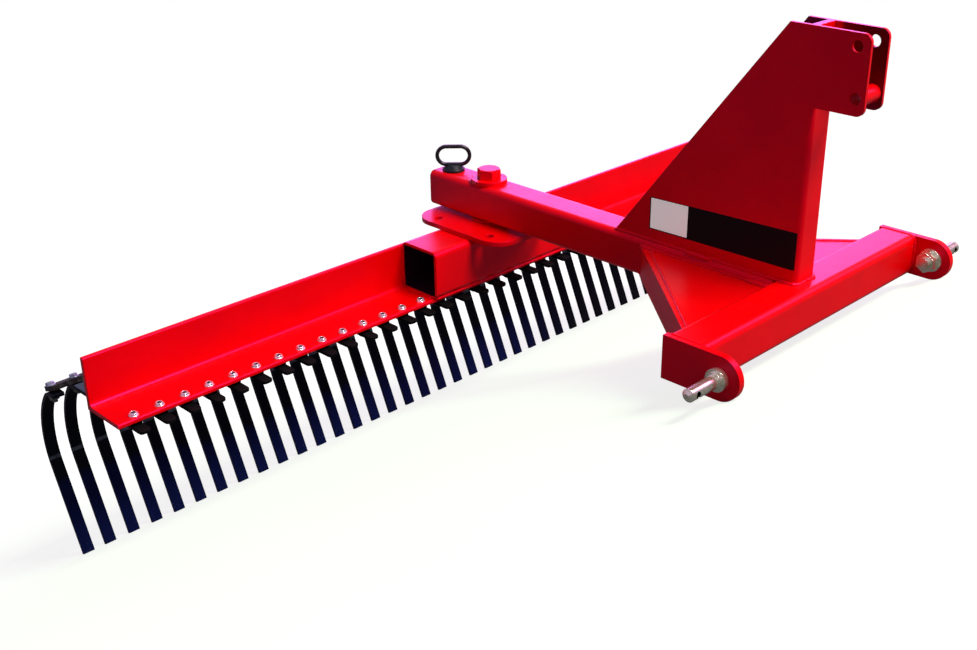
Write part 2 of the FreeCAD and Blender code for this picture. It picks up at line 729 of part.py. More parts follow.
def build():
    """Make every sub-part in the machine frame."""
    parts = [head_angle(), socket_tube(), index_plate(), tie_bar()]
    for side, hand in ((1, "right"), (-1, "left")):
        for bank in range(BANKS):
            first = d.tine_pitch * (bank * BANK_TINES + 0.5)
            parts.append(tines(f"tine_bank_{hand}_{bank + 1}", first, BANK_TINES, side))
        parts.append(end_tine(f"end_tine_{hand}", side))
        parts += [ear(f"ear_{hand}", side), lift_pin(f"lift_pin_{hand}", side),
                  gusset(f"gusset_plate_{hand}", side), brace(f"brace_bar_{hand}", side)]
        parts += lift_fasteners(hand, side)
    parts += [boom_tube(), cross_tube(), mast(), sleeve(), king_bolt(), index_pin()]
    parts += pivot_rings()
    return parts


def park_angle():
    """Forward tip, in degrees, at which tine tips and ear noses reach the same floor."""
    tips = [(corner.x, corner.y) for corner in tine_tips()]
    nose_y, nose_z, nose_r = d.pin_y.number, pin_level.number, d.tube_side.number / 2
    low, high = 0.0, math.radians(60)
    for _ in range(60):
        tip = (low + high) / 2
        sine, cosine = math.sin(tip), math.cos(tip)
        tine = min(-y * sine + z * cosine for y, z in tips)
        lobe = -nose_y * sine + nose_z * cosine - nose_r
        low, high = (tip, high) if lobe > tine else (low, tip)
    return math.degrees(tip), tine


def stand(parts):
    """Tip the machine forward onto its tine tips and ears, over the frame's origin."""
    angle, floor = park_angle()
    tipped = FreeCAD.Rotation(V(1, 0, 0), -angle)
    box = FreeCAD.BoundBox()
    for part in parts:
        shape = part.Shape.copy()
        shape.Placement = FreeCAD.Placement(V(0, 0, 0), tipped) * shape.Placement
        box.add(shape.BoundBox)
    middle = (box.YMin + box.YMax) / 2
    place = FreeCAD.Placement(V(0, -middle, -floor), tipped)
    for part in parts:
        part.Placement = place * part.Placement
    print("park angle", round(angle, 3), "shift", -middle, -floor)


def export(parts):
    doc.recompute()
    for item in doc.Objects:
        if any(word in ("Invalid", "Error") for word in item.State):
            raise RuntimeError(f"{item.Name} failed: {item.State}")
    os.makedirs("parts", exist_ok=True)
    for part in parts:
        shape = part.Shape
        if shape.isNull() or not shape.isValid():
            raise RuntimeError(f"{part.Label} has no valid shape")
        shape.exportStep(f"parts/{part.Label}.step")
    print(len(parts), "parts")


parts = build()
doc.recompute()
stand(parts)
export(parts)
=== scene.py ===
"""Looks of a three-point-hitch landscape rake: enamel, spring steel, plating, bolts and welds.

Everything is first drawn in the level machine's own frame, in metres: X to the machine's right,
Y forward to the tractor, Z up, with the king bolt's axis at X = Y = 0 and the tine arms' top
faces at Z = 0. tipped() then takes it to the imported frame, where the rake stands as it parks.
"""

import json
import math
from collections import namedtuple

import bmesh
import bpy
import numpy as np
from mathutils import Matrix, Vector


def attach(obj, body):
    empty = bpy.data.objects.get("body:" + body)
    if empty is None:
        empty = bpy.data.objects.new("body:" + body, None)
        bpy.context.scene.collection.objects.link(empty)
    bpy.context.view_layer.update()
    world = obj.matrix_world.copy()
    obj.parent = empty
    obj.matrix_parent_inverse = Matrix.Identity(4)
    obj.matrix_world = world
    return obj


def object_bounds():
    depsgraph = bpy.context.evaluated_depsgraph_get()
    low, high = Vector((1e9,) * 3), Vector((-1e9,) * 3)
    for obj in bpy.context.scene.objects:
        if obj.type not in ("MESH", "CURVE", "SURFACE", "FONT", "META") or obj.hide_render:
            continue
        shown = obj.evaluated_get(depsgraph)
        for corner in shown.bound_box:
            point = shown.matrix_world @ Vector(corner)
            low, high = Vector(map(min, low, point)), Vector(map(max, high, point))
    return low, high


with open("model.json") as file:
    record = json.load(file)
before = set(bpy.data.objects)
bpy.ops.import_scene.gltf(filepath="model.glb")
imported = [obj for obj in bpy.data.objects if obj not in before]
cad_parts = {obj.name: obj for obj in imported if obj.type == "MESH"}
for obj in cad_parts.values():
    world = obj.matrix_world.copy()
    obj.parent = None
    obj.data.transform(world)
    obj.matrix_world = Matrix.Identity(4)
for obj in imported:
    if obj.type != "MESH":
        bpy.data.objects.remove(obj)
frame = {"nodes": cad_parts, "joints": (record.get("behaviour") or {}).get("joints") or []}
cad_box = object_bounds()
nodes = frame["nodes"]

MM = 0.001
INCH = 25.4 * MM
FRAME_BODY, HEAD_BODY = "hitch_frame", "rake_head"

# Sizes of the CAD nodes that finishes and trim follow.
TUBE_WALL = 6.35 * MM
MAST_WALL = 6.35 * MM
FLANGE_THICK = 7.9 * MM
TINE_THICK = 7.0 * MM
PIN_RADIUS, PIN_HOLE_RADIUS, PIN_HOLE_BACK = 11.1 * MM, 5.5 * MM, 18.0 * MM

# --- level frame --------------------------------------------------------------------------

swivel = frame["joints"][0]
UP = np.array(swivel["axis"], float)
LEVEL = np.array([[1.0, 0.0, 0.0], [0.0, UP[2], -UP[1]], UP])


def corners_of(node):
    """Every vertex of a CAD node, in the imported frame."""
    mesh = nodes[node].data
    flat = np.empty(len(mesh.vertices) * 3)
    mesh.vertices.foreach_get("co", flat)
    return flat.reshape(-1, 3)


ORIGIN = np.array(swivel["pos_m"], float)
ORIGIN = ORIGIN + UP * ((corners_of("head_angle") - ORIGIN) @ UP).min()


def tipped(points):
    """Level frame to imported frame: each point's three parts along the tipped machine's axes."""
    return np.asarray(points, float) @ LEVEL + ORIGIN


def levelled(node):
    """A CAD node's vertices in the level frame."""
    return (corners_of(node) - ORIGIN) @ LEVEL.T


def level_box(node):
    """Low and high corner of a CAD node's box in the level frame."""
    points = levelled(node)
    return points.min(axis=0), points.max(axis=0)


# --- finishes -----------------------------------------------------------------------------


class Signal:
    """One number that changes over a surface; Python's operators join it with Math nodes."""

    def __init__(self, maker, socket):
        self.maker, self.socket = maker, socket

    def maths(self, operation, first, second=0.0):
        """A Math node on two signals or numbers."""
        return self.maker.node(
            "ShaderNodeMath", {"operation": operation}, {0: first, 1: second})

    def __add__(self, other):
        return self.maths("ADD", self, other)

    def __radd__(self, other):
        return self.maths("ADD", other, self)

    def __sub__(self, other):
        return self.maths("SUBTRACT", self, other)

    def __rsub__(self, other):
        return self.maths("SUBTRACT", other, self)

    def __mul__(self, other):
        return self.maths("MULTIPLY", self, other)

    def __rmul__(self, other):
        return self.maths("MULTIPLY", other, self)

    def size(self):
        """The number without its sign."""
        return self.maths("ABSOLUTE", self)

    def larger(self, other):
        """The larger of two numbers."""
        return self.maths("MAXIMUM", self, other)

    def step(self, low, high):
        """0 below low, 1 above high and a smooth rise between them."""
        return self.maker.node(
            "ShaderNodeMapRange", {"interpolation_type": "SMOOTHSTEP"},
            {"Value": self, "From Min": low, "From Max": high})


class NodeTree:
    """A tree of shader nodes that ends in one surface."""

    def __init__(self, tree, ending):
        self.tree = tree
        self.tree.nodes.clear()
        self.out = self.tree.nodes.new(ending)

    def node(self, kind, settings=None, sockets=None, output=0):
        """Adds a node: its settings first, then a value or a link for each named socket."""
        made = self.tree.nodes.new(kind)
        for key, value in (settings or {}).items():
            setattr(made, key, value)
        for key, value in (sockets or {}).items():
            if isinstance(value, Signal):
                self.tree.links.new(value.socket, made.inputs[key])
            else:
                made.inputs[key].default_value = value
        return Signal(self, made.outputs[output])

    def ray(self, kind):
        """1 for a ray of that kind, 0 for any other."""
        return self.node("ShaderNodeLightPath", output=f"Is {kind} Ray")

    def close(self, shader):
        """Ends the tree in a shader."""
        self.tree.links.new(shader.socket, self.out.inputs["Surface"])


class Finish(NodeTree):
    """One procedural material on Object coordinates."""

    def __init__(self, name):
        self.material = bpy.data.materials.new(name)
        self.material.use_nodes = True
        super().__init__(self.material.node_tree, "ShaderNodeOutputMaterial")

    def where(self):
        """Object coordinates, in metres."""
        return self.node("ShaderNodeTexCoord", output="Object")

    def place(self, scale=(1.0, 1.0, 1.0)):
        """Object coordinates stretched by scale."""
        return self.node("ShaderNodeMapping", None, {"Vector": self.where(), "Scale": scale})

    def noise(self, size, detail=2.0, place=None, roughness=0.5):
        """Cloudy pattern from 0 to 1 whose lumps are about size metres across."""
        return self.node("ShaderNodeTexNoise", None, {
            "Vector": place or self.place(), "Scale": 1.0 / size, "Detail": detail,
            "Roughness": roughness})

    def mix(self, share, first, second):
        """Colour mix: first where share is 0, second where it is 1."""
        return self.node("ShaderNodeMix", {"data_type": "RGBA"},
                         {"Factor": share, 6: first, 7: second}, output=2)

    def bump(self, height, depth, strength=1.0, normal=None):
        """Normals tilted as by a relief of that height, depth metres deep."""
        sockets = {"Height": height, "Distance": depth, "Strength": strength}
        if normal:
            sockets["Normal"] = normal
        return self.node("ShaderNodeBump", None, sockets)

    def rounded(self, radius):
        """Normals that turn over every edge as if it were rounded to that radius."""
        return self.node("ShaderNodeBevel", {"samples": 6}, {"Radius": radius})

    def surface(self, sockets):
        """Closes the material with one Principled shader."""
        self.close(self.node("ShaderNodeBsdfPrincipled", None, sockets))
        return self.material


def rgba(red, green, blue):
    """An opaque colour."""
    return (red, green, blue, 1.0)


def level_part(made, direction, start):
    """How far a point lies along one of the level frame's directions, from a start in metres."""
    along = LEVEL[direction]
    reach = made.node("ShaderNodeVectorMath", {"operation": "DOT_PRODUCT"},
                      {0: made.where(), 1: tuple(along)}, output="Value")
    return reach - float(ORIGIN @ along + start)


def bore_shade_mask(made, node, wall):
    """1 on the inner faces of a square tube that runs along X, 0 on its outer faces."""
    low, high = level_box(node)
    inside = 1.0
    blur = 0.6 * MM
    for direction in (1, 2):
        middle = (low[direction] + high[direction]) / 2
        half = (high[direction] - low[direction]) / 2 - wall * 0.8
        off = level_part(made, direction, middle).size()
        inside = (1.0 - off.step(half - blur, half + blur)) * inside
    return inside


def mast_foot_front():
    """Level Y of the front of the mast's folded web, taken at its foot."""
    points = levelled("mast")
    foot = points[points[:, 2] < points[:, 2].min() + 0.1 * MM]
    return foot[:, 1].max()


def cheek_shade_mask(made):
    """1 on the inner faces of the mast's two cheeks, 0 on its outer faces and on its web."""
    half = float(level_box("mast")[1][0]) - MAST_WALL
    ahead = level_part(made, 1, mast_foot_front())
    near, far = 3.0 * MM, 12.0 * MM
    front = ahead.step(near, far)
    behind = 1.0 - ahead.step(-MAST_WALL - far, -MAST_WALL - near)
    inner = 1.0 - level_part(made, 0, 0.0).size().step(half + 0.5 * MM, half + 1.5 * MM)
    return inner * (front + behind)


def pin_hole_shade_mask(made):
    """1 on the walls of the lift pins' linchpin holes, 0 on the pins' own faces.

    Both pins lie on one line along X. The walls are what is nearer to it than the pin's own
    radius, and nearer along it to the hole's middle than the hole's radius.
    """
    low, high = level_box("lift_pin_right")
    middle = (low + high) / 2
    ahead, above = level_part(made, 1, middle[1]), level_part(made, 2, middle[2])
    along = level_part(made, 0, 0.0).size() - float(high[0] - PIN_HOLE_BACK)
    deep = 1.0 - (ahead * ahead + above * above).step(
        (PIN_RADIUS - 1.4 * MM) ** 2, (PIN_RADIUS - 0.6 * MM) ** 2)
    near = 1.0 - (along * along).step(PIN_HOLE_RADIUS ** 2, (PIN_HOLE_RADIUS + 0.8 * MM) ** 2)
    return deep * near


def red_enamel(name="red_enamel", bore_of=None, cheeks=False):
    """Thick gloss enamel over hot-rolled steel: orange peel, faint waviness, thin dust.

    Where it coats an open tube, the bore is painted near-black: unpainted mill scale, darkened
    further as painted shade. The inner faces of the mast's cheeks are painted darker red as
    painted shade.
    """
    made = Finish(name)
    cloud = made.noise(0.11, 3.0)
    peel = made.noise(0.0035, 1.0)
    wave = made.noise(0.05, 1.0)
    dust = made.noise(0.016, 5.0, roughness=0.65).step(0.56, 0.78)
    colour = made.mix(cloud.step(0.3, 0.7), rgba(0.76, 0.0, 0.0), rgba(0.84, 0.0, 0.0))
    colour = made.mix(dust * 0.03, colour, rgba(0.75, 0.10, 0.09))
    gloss = 0.29 + 0.08 * cloud + 0.10 * dust
    if bore_of:
        # Painted shade: the bore's unpainted mill scale is painted near-black, darker than scale
        # alone.
        bore_scale_and_shade = bore_shade_mask(made, bore_of, TUBE_WALL)
        scale = made.mix(dust, rgba(0.0030, 0.0020, 0.0020), rgba(0.012, 0.006, 0.005))
        colour = made.mix(bore_scale_and_shade, colour, scale)
        gloss = gloss + 0.5 * bore_scale_and_shade
    if cheeks:
        # Painted shade: the inner faces of the mast's cheeks are painted darker red.
        colour = made.mix(cheek_shade_mask(made), colour, rgba(0.17, 0.0, 0.0))
    normal = made.bump(wave, 1.2 * MM, 0.35, made.rounded(2.2 * MM))
    normal = made.bump(peel, 0.16 * MM, 0.35, normal)
    return made.surface({
        "Base Color": colour, "Roughness": gloss,
        "Specular IOR Level": 0.42, "Specular Tint": rgba(1.0, 0.06, 0.72),
        "Normal": normal})


def spring_black():
    """Thin black paint on spring steel, with painted light and shade.

    It has a painted navy sheen low down, standing for the sky's light, with painted shade above
    it that keeps the legs black; the line between climbs towards the machine's sides, and the
    sheen fades out on its left. It has scuffs through to the steel near the tips; a lighter
    blue-grey band round each bend at one height; and a blue-grey painted sky reflection on the
    arms' tops, except on the end tines.
    """
    made = Finish("spring_black")
    height = made.node("ShaderNodeSeparateXYZ", None, {0: made.where()}, output="Z")
    across = made.node("ShaderNodeSeparateXYZ", None, {0: made.where()}, output="X")
    outer = (across * across).step(0.25, 0.80)
    streak = made.noise(0.02, 4.0, made.place((2.0, 1.0, 0.35)))
    # Painted light and shade: a navy sheen for the sky's light below this level, and painted
    # shade above it that keeps the legs black.
    sheen_level = height - 0.045 * outer + 0.012 * streak
    sheen = (1.0 - sheen_level.step(0.092, 0.116)) * across.step(-0.45, -0.15)
    colour = made.mix(sheen * (0.65 + 0.35 * streak), rgba(0.0010, 0.0010, 0.0013),
                      rgba(0.0018, 0.0062, 0.074))
    scuff = made.noise(0.005, 4.0, roughness=0.7).step(0.60, 0.74)
    worn = scuff * (1.0 - height.step(0.006, 0.035))
    colour = made.mix(worn * 0.5, colour, rgba(0.11, 0.11, 0.12))
    # A lighter blue-grey band round each bend, at one height.
    bend_band = height.step(0.1875, 0.1895) * (1.0 - height.step(0.1935, 0.1965))
    colour = made.mix(bend_band * streak, colour, rgba(0.10, 0.12, 0.17))
    # Painted sky reflection: the arms' top faces are painted blue-grey, except on the end tines.
    top_sky_reflection = (level_part(made, 2, -0.4 * MM).step(0.0, 0.2 * MM)
             * (1.0 - (across * across).step(0.80, 0.84)))
    colour = made.mix(top_sky_reflection * (0.5 + 0.5 * streak), colour, rgba(0.08, 0.10, 0.16))
    return made.surface({
        "Base Color": colour, "Roughness": 0.40 + 0.14 * streak, "Specular IOR Level": 0.18,
        "Specular Tint": rgba(0.45, 0.6, 1.0),
        "Normal": made.bump(streak, 0.6 * MM, 0.4, made.rounded(1.6 * MM))})


def bar_black():
    """Black paint of the tie bar, thinner and greyer where it is worn."""
    made = Finish("bar_black")
    patch = made.noise(0.03, 5.0, roughness=0.6)
    grain = made.noise(0.004, 2.0)
    colour = made.mix(patch.step(0.46, 0.72), rgba(0.0014, 0.0014, 0.0018),
                      rgba(0.045, 0.052, 0.050))
    return made.surface({
        "Base Color": colour, "Roughness": 0.40 + 0.2 * patch, "Specular IOR Level": 0.16,
        "Normal": made.bump(grain, 0.2 * MM, 0.5, made.rounded(1.2 * MM))})


def plating(name, colour, shade, roughness, metal, pins=False):
    """Zinc plate: a metal with drawing lines and cloudy tarnish from colour to shade.

    On the lift pins, the walls of the linchpin holes are painted near-black as painted shade.
    """
    made = Finish(name)
    cloud = made.noise(0.009, 4.0, roughness=0.6)
    lines = made.noise(0.0012, 2.0, made.place((1.0, 4.0, 4.0)))
    tone = made.mix(cloud.step(0.35, 0.72), rgba(*colour), rgba(*shade))
    if pins:
        # Painted shade: the walls of the linchpin holes are painted near-black.
        tone = made.mix(pin_hole_shade_mask(made), tone, rgba(0.004, 0.004, 0.004))
    return made.surface({
        "Base Color": tone, "Metallic": metal, "Roughness": roughness + 0.16 * cloud,
        "Normal": made.bump(lines, 0.08 * MM, 0.5, made.rounded(0.8 * MM))})


def loop_black():
    """Dipped black coating of the lock pin's pull loop."""
    made = Finish("loop_black")
    skin = made.noise(0.006, 3.0)
    colour = made.mix(skin, rgba(0.004, 0.0045, 0.006), rgba(0.012, 0.016, 0.022))
    return made.surface({
        "Base Color": colour, "Roughness": 0.28 + 0.2 * skin, "Specular IOR Level": 0.28,
        "Normal": made.bump(skin, 0.4 * MM, 0.4, made.rounded(1.2 * MM))})


def nose_black():
    """Flat black of the straps' noses, scuffed grey here and there."""
    made = Finish("nose_black")
    patch = made.noise(0.006, 4.0, roughness=0.7)
    colour = made.mix(patch.step(0.60, 0.85), rgba(0.0010, 0.0010, 0.0012),
                      rgba(0.012, 0.012, 0.014))
    return made.surface({
        "Base Color": colour, "Roughness": 0.62 + 0.2 * patch, "Specular IOR Level": 0.10,
        "Normal": made.bump(patch, 0.4 * MM, 0.4, made.rounded(1.0 * MM))})


def film(name, colour, gloss, level, glow):
    """Vinyl film: even colour with a faint mottle, and a trace of the steel below.

    Level is how strongly it shines, and glow a painted glow: light that the film gives out
    of its own, though it is no lamp.
    """
    made = Finish(name)
    mottle = made.noise(0.004, 3.0)
    skin = made.noise(0.04, 1.0)
    tone = made.mix(mottle * 0.25, rgba(*colour), rgba(*(0.8 * part for part in colour)))
    return made.surface({
        "Base Color": tone, "Roughness": gloss + 0.08 * mottle, "Specular IOR Level": level,
        "Emission Color": rgba(1.0, 1.0, 1.0), "Emission Strength": glow,
        "Normal": made.bump(skin, 0.8 * MM, 0.3)})


def studio_floor():
    """Floor shown white with the object's shadow; as a source of light it is a grey one.

    The camera sees its own light on top of what falls on it, a little less near the object.
    """
    made = Finish("studio_floor")
    seen, mirrored, clear = (made.ray(kind) for kind in ("Camera", "Glossy", "Transmission"))
    reach = made.node("ShaderNodeVectorMath", {"operation": "LENGTH"}, {0: made.where()},
                      output="Value")
    far = reach.step(0.9, 2.8)
    grain = made.noise(0.6, 2.0)
    shown = made.mix(grain, rgba(0.20, 0.30, 0.17), rgba(0.22, 0.32, 0.19))
    bounced = made.mix(mirrored, rgba(0.20, 0.20, 0.20), rgba(0.04, 0.04, 0.04))
    matt = made.node("ShaderNodeBsdfDiffuse", None, {"Color": made.mix(seen, bounced, shown)})
    glow = made.node("ShaderNodeEmission", None, {
        "Color": rgba(1.0, 1.0, 1.0),
        "Strength": (0.80 + 0.2 * far) * seen + 0.10 * mirrored + 0.10 * clear})
    made.close(made.node("ShaderNodeAddShader", None, {0: matt, 1: glow}))
    return made.material


ENAMEL = red_enamel()
# The socket tube's enamel carries painted shade in its bore; the mast's, on its cheeks' inner
# faces.
SOCKET_ENAMEL = red_enamel("socket_enamel", bore_of="socket_tube")
MAST_ENAMEL = red_enamel("mast_enamel", cheeks=True)
SPRING = spring_black()
BAR = bar_black()
PIN_ZINC = plating("pin_zinc", (0.97, 0.97, 0.84), (0.66, 0.66, 0.46), 0.10, 0.9, pins=True)
BOLT = plating("bolt_zinc", (0.95, 0.90, 0.97), (0.78, 0.68, 0.80), 0.16, 0.8)
SILVER = plating("blue_zinc", (0.50, 0.58, 0.74), (0.22, 0.27, 0.38), 0.24, 0.7)
NUT_GREEN = plating("green_zinc", (0.17, 0.22, 0.20), (0.10, 0.13, 0.12), 0.38, 0.6)
NUT_BLACK = plating("blackened_steel", (0.012, 0.012, 0.014), (0.035, 0.035, 0.04), 0.40, 0.4)
LOOP = loop_black()
NOSE_BLACK = nose_black()
FILM_BLACK = film("black_film", (0.0010, 0.0010, 0.0012), 0.42, 0.12, 0.0)
# The white square has a painted glow: it gives out light of its own, though it is no lamp.
FILM_WHITE = film("white_film", (0.93, 0.93, 0.95), 0.34, 0.3, 0.24)

# The first row whose text starts a CAD node's name gives its finish.
NODE_FINISH = (("tine", SPRING), ("end_tine", SPRING), ("tie_bar", BAR), ("lift_pin", PIN_ZINC),
               ("index_pin", LOOP), ("socket_tube", SOCKET_ENAMEL), ("mast", MAST_ENAMEL),
               ("", ENAMEL))

for node, solid in nodes.items():
    finish = next(made for start, made in NODE_FINISH if node.startswith(start))
    if not solid.material_slots:
        solid.data.materials.append(finish)
    for held in solid.material_slots:
        held.material = finish


# --- shapes -------------------------------------------------------------------------------


def grid_faces(rows, columns, loop_rows=False, loop_columns=False):
    """Quads of a grid of rows by columns points, joined round where a direction loops."""
    row = np.arange(rows if loop_rows else rows - 1)
    column = np.arange(columns if loop_columns else columns - 1)
    r, c = (part.ravel() for part in np.meshgrid(row, column, indexing="ij"))
    r2, c2 = (r + 1) % rows, (c + 1) % columns
    return np.stack([r * columns + c, r * columns + c2, r2 * columns + c2, r2 * columns + c], 1)


def piece(name, parts, body, material, smooth=True):
    """One piece from (points, faces) parts in the level frame, its normals turned outwards."""
    points, faces, first = [], [], 0
    for own_points, own_faces in parts:
        points.append(tipped(own_points))
        faces += [[int(index) + first for index in face] for face in own_faces]
        first += len(own_points)
    mesh = bpy.data.meshes.new(name)
    mesh.from_pydata(np.concatenate(points).tolist(), [], faces)
    shell = bmesh.new()
    shell.from_mesh(mesh)
    bmesh.ops.remove_doubles(shell, verts=shell.verts, dist=1e-6)
    bmesh.ops.recalc_face_normals(shell, faces=shell.faces)
    shell.to_mesh(mesh)
    shell.free()
    mesh.polygons.foreach_set("use_smooth", [smooth] * len(mesh.polygons))
    if smooth:
        mesh.set_sharp_from_angle(angle=math.radians(32))
    mesh.materials.append(material)
    made = bpy.data.objects.new(name, mesh)
    bpy.context.scene.collection.objects.link(made)
    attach(made, body)
    return made


HEX_TURN = math.pi / 3


def turned(stations, foot, axis, ahead, sides=24):
    """A turned or six-sided form about an axis from its foot.

    Each station is (radius, height, sixness), the first two in millimetres. A ring's radius is
    the station's own, and where sixness is 1 it is divided by the cosine of the angle from the
    nearest flat's middle, so that the ring becomes a hexagon of that inner radius. The first
    and last rings are closed.
    """
    axis = np.asarray(axis, float) / np.linalg.norm(axis)
    side = np.cross(axis, ahead)
    side = side / np.linalg.norm(side)
    front = np.cross(side, axis)
    angle = np.arange(sides) * math.tau / sides
    off_flat = (angle + HEX_TURN / 2) % HEX_TURN - HEX_TURN / 2
    radius, height, six = (np.array(part, float)[:, None] for part in zip(*stations))
    ring = radius * MM * (1.0 - six + six / np.cos(off_flat)[None, :])
    points = (np.asarray(foot, float) + height[..., None] * MM * axis
              + (ring * np.cos(angle))[..., None] * front
              + (ring * np.sin(angle))[..., None] * side)
    faces = grid_faces(len(stations), sides, loop_columns=True).tolist()
    last = (len(stations) - 1) * sides
    faces += [list(range(sides)), list(range(last, last + sides))]
    return points.reshape(-1, 3), faces


def rounded(corners, radius, steps=6):
    """A polygon with each corner cut by a quadratic curve that starts radius before it."""
    here = np.array(corners, float)[:, None, :]
    before, after = np.roll(here, 1, axis=0) - here, np.roll(here, -1, axis=0) - here
    start = here + before / np.linalg.norm(before, axis=2)[..., None] * radius
    end = here + after / np.linalg.norm(after, axis=2)[..., None] * radius
    t = np.linspace(0.0, 1.0, steps)[None, :, None]
    return ((1 - t) ** 2 * start + 2 * t * (1 - t) * here + t ** 2 * end).reshape(-1, 2)


def plate(outline, levels, corner, across, up):
    """A flat plate over an anticlockwise outline of (across, up) pairs from a corner.

    Each level is (height, inset): the outline moves in along its own normals by the inset, and
    out along the plate's normal by the height. The first and last levels are closed.
    """
    across, up = np.asarray(across, float), np.asarray(up, float)
    flat = np.asarray(outline, float)
    along = np.roll(flat, -1, axis=0) - np.roll(flat, 1, axis=0)
    outward = np.stack([along[:, 1], -along[:, 0]], 1)
    outward /= np.linalg.norm(outward, axis=1)[:, None]
    height, inset = (np.array(part, float)[:, None, None] for part in zip(*levels))
    drawn = flat[None] - outward[None] * inset
    points = (np.asarray(corner, float) + drawn[..., :1] * across + drawn[..., 1:] * up
              + height * np.cross(across, up))
    count = len(flat)
    faces = grid_faces(len(levels), count, loop_columns=True).tolist()
    last = (len(levels) - 1) * count
    faces += [list(range(count)), list(range(last, last + count))]
    return points.reshape(-1, 3), faces


def bead(path, radius, seed, pitch, ripple=0.16, sides=10):
    """A weld bead: a round section carried along a path of straight runs.

    The radius swells and pinches once each pitch as the square root of the sine's size, like
    a row of coins pushed over, and wanders a little by a seeded random walk. Each end closes
    as a quarter circle does.
    """
    path = np.asarray(path, float)
    runs = np.linalg.norm(np.diff(path, axis=0), axis=1)
    along = np.concatenate([[0.0], np.cumsum(runs)])
    count = max(int(along[-1] / pitch * 5), 8)
    stops = np.linspace(0.0, along[-1], count)
    centre = np.stack([np.interp(stops, along, path[:, axis]) for axis in range(3)], 1)
    heading = np.gradient(centre, axis=0)
    heading /= np.linalg.norm(heading, axis=1)[:, None]
    helper = np.where(np.abs(heading[:, 2:]) > 0.9, [[1.0, 0.0, 0.0]], [[0.0, 0.0, 1.0]])
    side = np.cross(heading, helper)
    side /= np.linalg.norm(side, axis=1)[:, None]
    top = np.cross(side, heading)
    chance = np.random.default_rng(seed)
    walk = np.convolve(chance.normal(0.0, 0.12, count + 8), np.ones(9) / 9, "valid")
    swell = 1.0 - ripple * (1.0 - np.sqrt(np.abs(np.sin(stops / pitch * math.pi)))) + walk
    ends = np.minimum(np.minimum(stops, along[-1] - stops) / (radius * 1.2), 1.0)
    swell = swell * np.sqrt(np.maximum(1.0 - (1.0 - ends) ** 2, 0.02))
    angle = np.arange(sides) * math.tau / sides
    rim = radius * swell[:, None, None]
    points = centre[:, None, :] + rim * (np.cos(angle)[None, :, None] * side[:, None, :]
                                         + np.sin(angle)[None, :, None] * top[:, None, :])
    faces = grid_faces(count, sides, loop_columns=True).tolist()
    last = (count - 1) * sides
    faces += [list(range(sides)), list(range(last, last + sides))]
    return points.reshape(-1, 3), faces


# --- measured places ----------------------------------------------------------------------

def tine_middles(node):
    """X of each tine in a bank: its vertices fall in pairs of side planes."""
    planes = np.unique(levelled(node)[:, 0].round(4))
    return [(planes[i] + planes[i + 1]) / 2 for i in range(0, len(planes), 2)]


bank_x = sorted(x for node in sorted(nodes) if node.startswith("tine_bank")
                for x in tine_middles(node))
end_x = [(level_box(node)[0][0] + level_box(node)[1][0]) / 2
         for node in sorted(nodes) if node.startswith("end_tine")]
BOLT_Y = 29.0 * MM
NOSE_HIGH, NOSE_LOW, NOSE_WIDTH = -TINE_THICK, -14.0 * MM, 22.2 * MM


def hex_head(flat, height, chamfer):
    """Stations of a bolt head: straight six-sided sides and a turned chamfer on top."""
    return [(flat, 0.0, 1.0), (flat, height * (1.0 - chamfer), 1.0),
            (flat * 0.93, height, 0.0)]


def stacked(stations, start):
    """Stations moved up to start."""
    return [(radius, height + start, six) for radius, height, six in stations]


# --- bolts --------------------------------------------------------------------------------


# Stations of the bolts' parts, washers first.
FLANGE_NUT = [(8.9, 0.0, 0.0), (8.9, 1.4, 0.0), (8.5, 1.8, 0.0), (7.6, 1.8, 0.0), (6.9, 2.2, 1.0),
              (6.9, 4.4, 1.0), (6.4, 5.6, 0.0), (4.6, 5.9, 0.0), (3.8, 4.6, 0.0)]
THREAD_END = [(3.6, 4.0, 0.0), (3.6, 5.4, 0.0), (2.8, 6.2, 0.0)]
ROUND_HEAD = [(9.6, 0.0, 0.0), (9.4, 1.2, 0.0), (7.4, 2.8, 0.0), (3.6, 3.8, 0.0)]
TIE_HEAD = [(9.6, 0.0, 0.0), (9.6, 1.8, 0.0)] + stacked(hex_head(7.0, 5.2, 0.16), 1.8)
TIE_NUT = ([(10.0, 0.0, 0.0), (10.0, 2.0, 0.0)] + stacked(hex_head(7.6, 8.4, 0.14), 2.0)
           + [(4.4, 10.4, 0.0), (4.4, 14.0, 0.0), (3.6, 15.0, 0.0)])


def flange_bolts():
    """Nut on washer and thread end above the flange; a round bolt head below each nose."""
    nuts, ends, heads = [], [], []
    up, down = (0, 0, 1), (0, 0, -1)
    for i, x in enumerate(bank_x):
        spin = (math.cos(i * 2.4), math.sin(i * 2.4), 0.0)
        top = (x, BOLT_Y, FLANGE_THICK)
        nuts.append(turned(FLANGE_NUT, top, up, spin))
        ends.append(turned(THREAD_END, top, up, spin, sides=16))
        heads.append(turned(ROUND_HEAD, (x, BOLT_Y, NOSE_LOW), down, spin, sides=20))
    piece("flange_nuts", nuts, HEAD_BODY, BOLT)
    piece("flange_bolt_ends", ends, HEAD_BODY, NUT_BLACK)
    piece("flange_bolt_heads", heads, HEAD_BODY, NUT_BLACK)


def tine_noses():
    """Under each arm a strap of the arm's own width, whose round nose passes the flange's lip."""
    half, rear, front, corner = NOSE_WIDTH / 2, 12.0 * MM, 66.0 * MM, 8.5 * MM
    outline = rounded([(-half, rear), (half, rear), (half, front), (-half, front)], corner)
    thick, rim = NOSE_HIGH - NOSE_LOW, 1.1 * MM
    levels = [(0.0, rim), (rim, 0.0), (thick - rim, 0.0), (thick, rim)]
    noses = [plate(outline, levels, (x, 0.0, NOSE_LOW), (1, 0, 0), (0, 1, 0)) for x in bank_x]
    piece("tine_noses", noses, HEAD_BODY, NOSE_BLACK)


